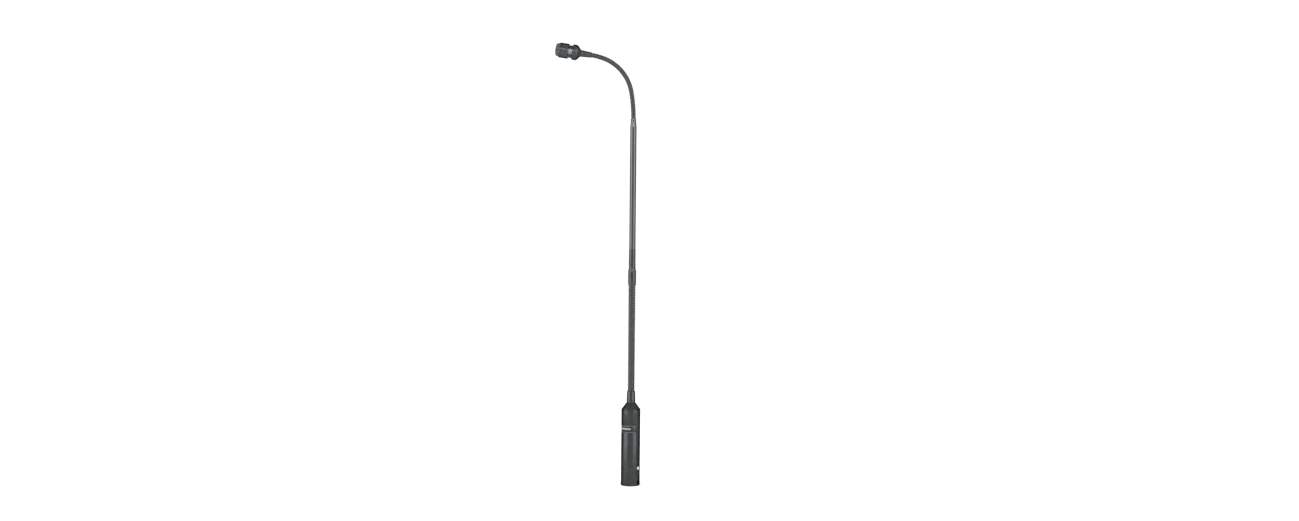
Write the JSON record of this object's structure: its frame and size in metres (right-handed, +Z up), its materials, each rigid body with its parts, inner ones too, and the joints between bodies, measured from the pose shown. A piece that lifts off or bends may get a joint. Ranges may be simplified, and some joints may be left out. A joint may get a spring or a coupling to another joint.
{
  "type": "desktop microphone",
  "caption": "Slim plug-in gooseneck microphone for a desk or lectern: round barrel with a three-pin plug, flexible neck, rigid tube, second flexible neck and small capsule head.",
  "frame": {"origin": "centre of the barrel's open plug end, on the barrel's axis", "axes": "+Z up the barrel towards the head; the necks bend in the XZ plane, with the head towards -X"},
  "size_m": [0.0889, 0.019, 0.4425],
  "materials": {
    "barrel_finish": "satin",
    "neck_fitting": "satin",
    "neck_winding": "satin",
    "tube_finish": "semi-gloss",
    "head_finish": "satin",
    "grille_wire": "satin",
    "mesh_silver": "bright",
    "foam": "matte",
    "label_black": "satin",
    "insert_plastic": "matte",
    "contact_silver": "bright",
    "screw_steel": "bright",
    "plain_brass": "plain",
    "board_laminate": "semi-gloss",
    "transformer_steel": "plain",
    "capacitor_sleeve": "gloss",
    "chip_epoxy": "matte",
    "wire_sheath": "gloss",
    "lead_sheath": "matte",
    "capsule_metal": "satin",
    "diaphragm_film": "gloss",
    "gasket_rubber": "matte"
  },
  "bodies": {
    "base": {"barrel_housing": "barrel_finish", "barrel_cap": "barrel_finish", "base_ferrule": "neck_fitting", "neck_nut": "plain_brass", "label_plate": "label_black", "circuit_board": "board_laminate", "board_rings": "insert_plastic", "output_transformer": "transformer_steel", "board_capacitors": "capacitor_sleeve", "board_transistors": "chip_epoxy", "xlr_insert": "insert_plastic", "contact_pins": "contact_silver", "contact_wires": "wire_sheath", "ground_tab": "contact_silver", "insert_screw": "screw_steel", "base_lead": "lead_sheath", "lower_neck_root": "neck_winding"},
    "lower_link_01": {"lower_neck_link_01": "neck_winding"},
    "lower_link_02": {"lower_neck_link_02": "neck_winding"},
    "lower_link_03": {"lower_neck_link_03": "neck_winding"},
    "lower_link_04": {"lower_neck_link_04": "neck_winding"},
    "lower_link_05": {"lower_neck_link_05": "neck_winding"},
    "lower_link_06": {"lower_neck_link_06": "neck_winding"},
    "lower_link_07": {"lower_neck_link_07": "neck_winding"},
    "lower_link_08": {"lower_neck_link_08": "neck_winding"},
    "lower_link_09": {"lower_neck_link_09": "neck_winding"},
    "tube": {"lower_neck_tip": "neck_winding", "tube_coupler": "neck_fitting", "rigid_tube": "tube_finish", "tube_lead": "lead_sheath", "upper_neck_root": "neck_winding"},
    "upper_link_01": {"upper_neck_link_01": "neck_winding"},
    "upper_link_02": {"upper_neck_link_02": "neck_winding"},
    "upper_link_03": {"upper_neck_link_03": "neck_winding"},
    "upper_link_04": {"upper_neck_link_04": "neck_winding"},
    "upper_link_05": {"upper_neck_link_05": "neck_winding"},
    "upper_link_06": {"upper_neck_link_06": "neck_winding"},
    "upper_link_07": {"upper_neck_link_07": "neck_winding"},
    "upper_link_08": {"upper_neck_link_08": "neck_winding"},
    "upper_link_09": {"upper_neck_link_09": "neck_winding"},
    "upper_link_10": {"upper_neck_link_10": "neck_winding"},
    "upper_link_11": {"upper_neck_link_11": "neck_winding"},
    "head": {"upper_neck_tip": "neck_winding", "head_stem": "head_finish", "head_housing": "head_finish", "head_cap": "head_finish", "grille": "grille_wire", "grille_foam": "foam", "vent_mesh": "mesh_silver", "capsule_can": "capsule_metal", "capsule_diaphragm": "diaphragm_film", "capsule_spacer": "insert_plastic", "capsule_backplate": "plain_brass", "capsule_insulator": "insert_plastic", "capsule_board": "board_laminate", "capsule_gasket": "gasket_rubber", "head_lead": "lead_sheath"}
  },
  "joints": [
    {"name": "lower_bend_1", "type": "hinge", "parent": "base", "child": "lower_link_01", "pos_m": [0, 0, 0.09921], "axis": [0, -1, 0], "range_deg": [-12, 12]},
    {"name": "lower_sway_1", "type": "hinge", "parent": "lower_link_01", "child": "lower_link_02", "pos_m": [0, 0, 0.10984], "axis": [1, 0, 0], "range_deg": [-12, 12]},
    {"name": "lower_bend_2", "type": "hinge", "parent": "lower_link_02", "child": "lower_link_03", "pos_m": [0, 0, 0.12047], "axis": [0, -1, 0], "range_deg": [-12, 12]},
    {"name": "lower_sway_2", "type": "hinge", "parent": "lower_link_03", "child": "lower_link_04", "pos_m": [0, 0, 0.1311], "axis": [1, 0, 0], "range_deg": [-12, 12]},
    {"name": "lower_bend_3", "type": "hinge", "parent": "lower_link_04", "child": "lower_link_05", "pos_m": [0, 0, 0.14173], "axis": [0, -1, 0], "range_deg": [-12, 12]},
    {"name": "lower_sway_3", "type": "hinge", "parent": "lower_link_05", "child": "lower_link_06", "pos_m": [0, 0, 0.15237], "axis": [1, 0, 0], "range_deg": [-12, 12]},
    {"name": "lower_bend_4", "type": "hinge", "parent": "lower_link_06", "child": "lower_link_07", "pos_m": [0, 0, 0.163], "axis": [0, -1, 0], "range_deg": [-12, 12]},
    {"name": "lower_sway_4", "type": "hinge", "parent": "lower_link_07", "child": "lower_link_08", "pos_m": [0, 0, 0.17363], "axis": [1, 0, 0], "range_deg": [-12, 12]},
    {"name": "lower_bend_5", "type": "hinge", "parent": "lower_link_08", "child": "lower_link_09", "pos_m": [0, 0, 0.18426], "axis": [0, -1, 0], "range_deg": [-12, 12]},
    {"name": "lower_sway_5", "type": "hinge", "parent": "lower_link_09", "child": "tube", "pos_m": [0, 0, 0.19489], "axis": [1, 0, 0], "range_deg": [-12, 12]},
    {"name": "upper_bend_1", "type": "hinge", "parent": "tube", "child": "upper_link_01", "pos_m": [-0.00004, 0, 0.37028], "axis": [0, -1, 0], "range_deg": [-10.58, 2.65]},
    {"name": "upper_sway_1", "type": "hinge", "parent": "upper_link_01", "child": "upper_link_02", "pos_m": [-0.00037, 0, 0.37742], "axis": [0.9976, 0, 0.0692], "range_deg": [-15, 15]},
    {"name": "upper_bend_2", "type": "hinge", "parent": "upper_link_02", "child": "upper_link_03", "pos_m": [-0.00103, 0, 0.38455], "axis": [0, -1, 0], "range_deg": [-13.51, 3.38]},
    {"name": "upper_sway_2", "type": "hinge", "parent": "upper_link_03", "child": "upper_link_04", "pos_m": [-0.00202, 0, 0.39163], "axis": [0.987, 0, 0.1608], "range_deg": [-15, 15]},
    {"name": "upper_bend_3", "type": "hinge", "parent": "upper_link_04", "child": "upper_link_05", "pos_m": [-0.00354, 0, 0.39861], "axis": [0, -1, 0], "range_deg": [-37.39, 9.35]},
    {"name": "upper_sway_3", "type": "hinge", "parent": "upper_link_05", "child": "upper_link_06", "pos_m": [-0.00615, 0, 0.40527], "axis": [0.8983, 0, 0.4394], "range_deg": [-15, 15]},
    {"name": "upper_bend_4", "type": "hinge", "parent": "upper_link_06", "child": "upper_link_07", "pos_m": [-0.0098, 0, 0.41141], "axis": [0, -1, 0], "range_deg": [-37.39, 9.35]},
    {"name": "upper_sway_4", "type": "hinge", "parent": "upper_link_07", "child": "upper_link_08", "pos_m": [-0.0144, 0, 0.41688], "axis": [0.71, 0, 0.7042], "range_deg": [-15, 15]},
    {"name": "upper_bend_5", "type": "hinge", "parent": "upper_link_08", "child": "upper_link_09", "pos_m": [-0.01983, 0, 0.42153], "axis": [0, -1, 0], "range_deg": [-37.39, 9.35]},
    {"name": "upper_sway_5", "type": "hinge", "parent": "upper_link_09", "child": "upper_link_10", "pos_m": [-0.02594, 0, 0.42523], "axis": [0.4469, 0, 0.8946], "range_deg": [-15, 15]},
    {"name": "upper_bend_6", "type": "hinge", "parent": "upper_link_10", "child": "upper_link_11", "pos_m": [-0.03257, 0, 0.42791], "axis": [0, -1, 0], "range_deg": [-26.34, 6.59]},
    {"name": "upper_sway_6", "type": "hinge", "parent": "upper_link_11", "child": "head", "pos_m": [-0.03948, 0, 0.42976], "axis": [0.2052, 0, 0.9787], "range_deg": [-15, 15]}
  ],
  "couplings": [
    {"joint": "lower_bend_2", "follows": "lower_bend_1", "ratio": 1},
    {"joint": "lower_sway_2", "follows": "lower_sway_1", "ratio": 1},
    {"joint": "lower_bend_3", "follows": "lower_bend_1", "ratio": 1},
    {"joint": "lower_sway_3", "follows": "lower_sway_1", "ratio": 1},
    {"joint": "lower_bend_4", "follows": "lower_bend_1", "ratio": 1},
    {"joint": "lower_sway_4", "follows": "lower_sway_1", "ratio": 1},
    {"joint": "lower_bend_5", "follows": "lower_bend_1", "ratio": 1},
    {"joint": "lower_sway_5", "follows": "lower_sway_1", "ratio": 1},
    {"joint": "upper_bend_1", "follows": "upper_bend_4", "ratio": 0.2829},
    {"joint": "upper_bend_2", "follows": "upper_bend_4", "ratio": 0.3613},
    {"joint": "upper_sway_2", "follows": "upper_sway_1", "ratio": 1},
    {"joint": "upper_bend_3", "follows": "upper_bend_4", "ratio": 1},
    {"joint": "upper_sway_3", "follows": "upper_sway_1", "ratio": 1},
    {"joint": "upper_sway_4", "follows": "upper_sway_1", "ratio": 1},
    {"joint": "upper_bend_5", "follows": "upper_bend_4", "ratio": 1},
    {"joint": "upper_sway_5", "follows": "upper_sway_1", "ratio": 1},
    {"joint": "upper_bend_6", "follows": "upper_bend_4", "ratio": 0.70434},
    {"joint": "upper_sway_6", "follows": "upper_sway_1", "ratio": 1}
  ]
}
